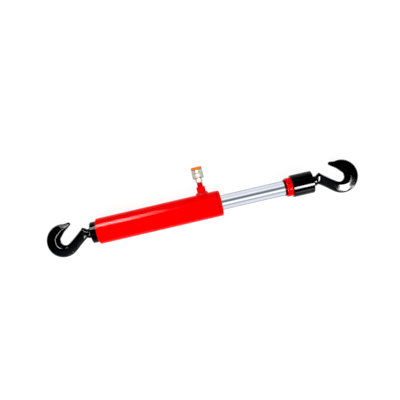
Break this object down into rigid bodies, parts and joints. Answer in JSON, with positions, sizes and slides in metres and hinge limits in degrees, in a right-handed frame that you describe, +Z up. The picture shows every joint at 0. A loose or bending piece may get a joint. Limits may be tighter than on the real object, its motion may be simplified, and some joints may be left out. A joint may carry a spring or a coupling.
{
  "type": "hydraulic pull cylinder",
  "caption": "Single-acting hydraulic pull ram with a chromed rod, side port with capped quick coupler, and a swivelling slip hook at each end.",
  "frame": {"origin": "on the surface that the barrel rests on, straight under the middle of the barrel's length", "axes": "+X along the cylinder from the rear hook to the rod end, +Y to the side of the oil port, +Z up"},
  "size_m": [0.7347, 0.134, 0.0597],
  "materials": {
    "red_paint": "glossy red enamel",
    "black_paint": "glossy black enamel over forged steel",
    "chrome": "hard chrome, ground and polished",
    "zinc": "bright zinc plating",
    "steel": "machined steel",
    "bronze": "bearing bronze",
    "seal_rubber": "nitrile",
    "seal_plastic": "PTFE",
    "orange_plastic": "moulded plastic"
  },
  "bodies": {
    "barrel": {"cylinder_barrel": "red_paint", "gland_nut": "red_paint", "gland_lock_screw": "steel", "gland_o_ring": "seal_rubber", "gland_backup_ring": "seal_plastic", "rod_bearing_sleeve": "bronze", "rod_seal": "seal_rubber", "rod_wiper": "seal_rubber", "rear_end_plug": "black_paint", "rear_plug_lock_screw": "steel", "breather_plug": "bronze", "rear_thrust_washer": "bronze", "return_spring": "steel", "port_boss": "red_paint", "port_weld_bead": "red_paint", "port_nipple": "red_paint", "coupler_adapter": "zinc", "coupler_body": "zinc", "coupler_socket_seal": "seal_rubber", "coupler_snap_ring": "steel", "check_valve_spring": "steel"},
    "spring_seat": {"spring_seat_ring": "bronze"},
    "rod": {"piston_rod": "chrome", "piston": "steel", "piston_nut": "steel", "piston_seal": "seal_rubber", "piston_backup_ring": "seal_plastic", "piston_guide_ring": "bronze", "piston_rod_o_ring": "seal_rubber", "rod_end_collar": "red_paint", "collar_set_screw": "steel", "collar_set_screw_rear": "steel", "front_swivel_housing": "black_paint", "front_thrust_washer": "bronze"},
    "front_hook": {"front_hook": "black_paint", "front_hook_nut": "steel", "front_hook_split_pin": "steel"},
    "rear_hook": {"rear_hook": "black_paint", "rear_hook_nut": "steel", "rear_hook_split_pin": "steel"},
    "coupler_collar": {"coupler_collar": "zinc"},
    "check_valve": {"check_valve_poppet": "steel"},
    "dust_cap": {"dust_cap": "orange_plastic"}
  },
  "joints": [
    {"name": "rod_slide", "type": "slide", "parent": "barrel", "child": "spring_seat", "axis": [1, 0, 0], "range_m": [-0.14, 0], "stiffness_N_per_m": 600, "springref_m": 0.05, "deforming": ["return_spring"]},
    {"name": "rod_turn", "type": "hinge", "parent": "spring_seat", "child": "rod", "pos_m": [0.0652, 0, 0.02986], "axis": [1, 0, 0], "continuous": true},
    {"name": "front_hook_swivel", "type": "hinge", "parent": "rod", "child": "front_hook", "pos_m": [0.3605, 0, 0.02986], "axis": [1, 0, 0], "continuous": true},
    {"name": "rear_hook_swivel", "type": "hinge", "parent": "barrel", "child": "rear_hook", "pos_m": [-0.16, 0, 0.02986], "axis": [1, 0, 0], "continuous": true},
    {"name": "coupler_collar_spin", "type": "hinge", "parent": "barrel", "child": "coupler_collar", "pos_m": [0.107, 0.0663, 0.02986], "axis": [0, 1, 0], "continuous": true},
    {"name": "check_valve_travel", "type": "slide", "parent": "barrel", "child": "check_valve", "axis": [0, -1, 0], "range_m": [0, 0.003], "stiffness_N_per_m": 800, "springref_m": -0.002, "deforming": ["check_valve_spring"]},
    {"name": "dust_cap_pull", "type": "slide", "parent": "barrel", "child": "dust_cap", "axis": [0, 1, 0], "range_m": [0, 0.03]}
  ]
}
